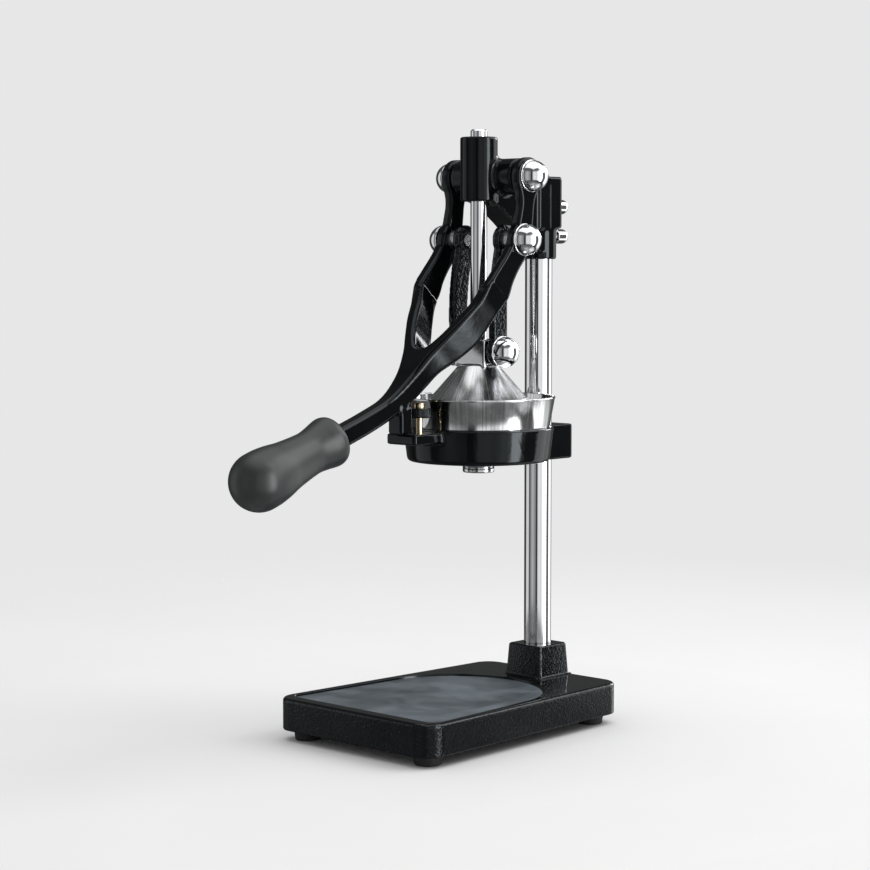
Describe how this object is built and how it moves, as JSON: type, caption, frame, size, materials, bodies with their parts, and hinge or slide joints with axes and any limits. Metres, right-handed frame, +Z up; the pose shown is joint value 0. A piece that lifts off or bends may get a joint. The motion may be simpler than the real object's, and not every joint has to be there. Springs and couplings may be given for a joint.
{
  "type": "citrus press",
  "caption": "Cast-iron lever citrus press: column stand, cup with strainer and spout, forked hand lever driving a vertical ram and press cone.",
  "frame": {"origin": "middle of the footprint on the floor: mid width, and half way between the grip's tip and the clamp screws' heads", "axes": "+Z up along the ram and the column, +Y towards the column at the back, +X to the user's right when the user faces the press"},
  "size_m": [0.1882, 0.4094, 0.5367],
  "materials": {
    "hammered_black": "gloss hammered enamel",
    "gloss_black": "gloss enamel",
    "chrome": "polished",
    "polished_steel": "polished",
    "satin_steel": "satin",
    "hardware": "satin",
    "bronze": "satin",
    "mat": "textured",
    "foot_rubber": "matte",
    "grip_rubber": "satin"
  },
  "bodies": {
    "stand": {"base": "hammered_black", "base_mat": "mat", "feet": "foot_rubber", "foot_screws": "hardware", "column": "chrome", "column_bolt": "hardware", "column_washer": "hardware", "cup_holder": "gloss_black", "holder_grub_screw": "hardware", "juice_cup": "polished_steel", "spout": "polished_steel", "strainer": "polished_steel", "reamer": "polished_steel", "head": "gloss_black", "guide_bushes": "bronze", "cross_bushes": "bronze", "head_clamp_screws": "chrome"},
    "lever": {"handle_fork": "gloss_black", "pivot_axle": "hardware", "pivot_caps": "chrome", "pivot_washers": "hardware", "upper_pins": "hardware", "upper_caps": "chrome", "grip_ferrule": "gloss_black", "grip": "grip_rubber"},
    "links": {"link_right": "hammered_black", "link_left": "hammered_black", "link_studs": "hardware"},
    "ram": {"crosshead": "satin_steel", "ram_rod": "chrome", "lower_pin": "hardware", "lower_caps": "chrome", "lower_washers": "hardware", "press_cone": "satin_steel", "cone_screw": "hardware"}
  },
  "joints": [
    {"name": "lever_pivot", "type": "hinge", "parent": "stand", "child": "lever", "pos_m": [0, 0.1017, 0.495], "axis": [-1, 0, 0], "range_deg": [0, 110]},
    {"name": "ram_slide", "type": "slide", "parent": "stand", "child": "ram", "axis": [0, 0, 1], "range_m": [0, 0.08877]},
    {"name": "link_pivot", "type": "hinge", "parent": "ram", "child": "links", "pos_m": [0, 0.0852, 0.34], "axis": [1, 0, 0], "range_deg": [0, 23.98]}
  ],
  "couplings": [
    {"joint": "ram_slide", "follows": "lever_pivot", "m_per_rad": 0.046233},
    {"joint": "link_pivot", "follows": "lever_pivot", "ratio": 0.21786}
  ]
}
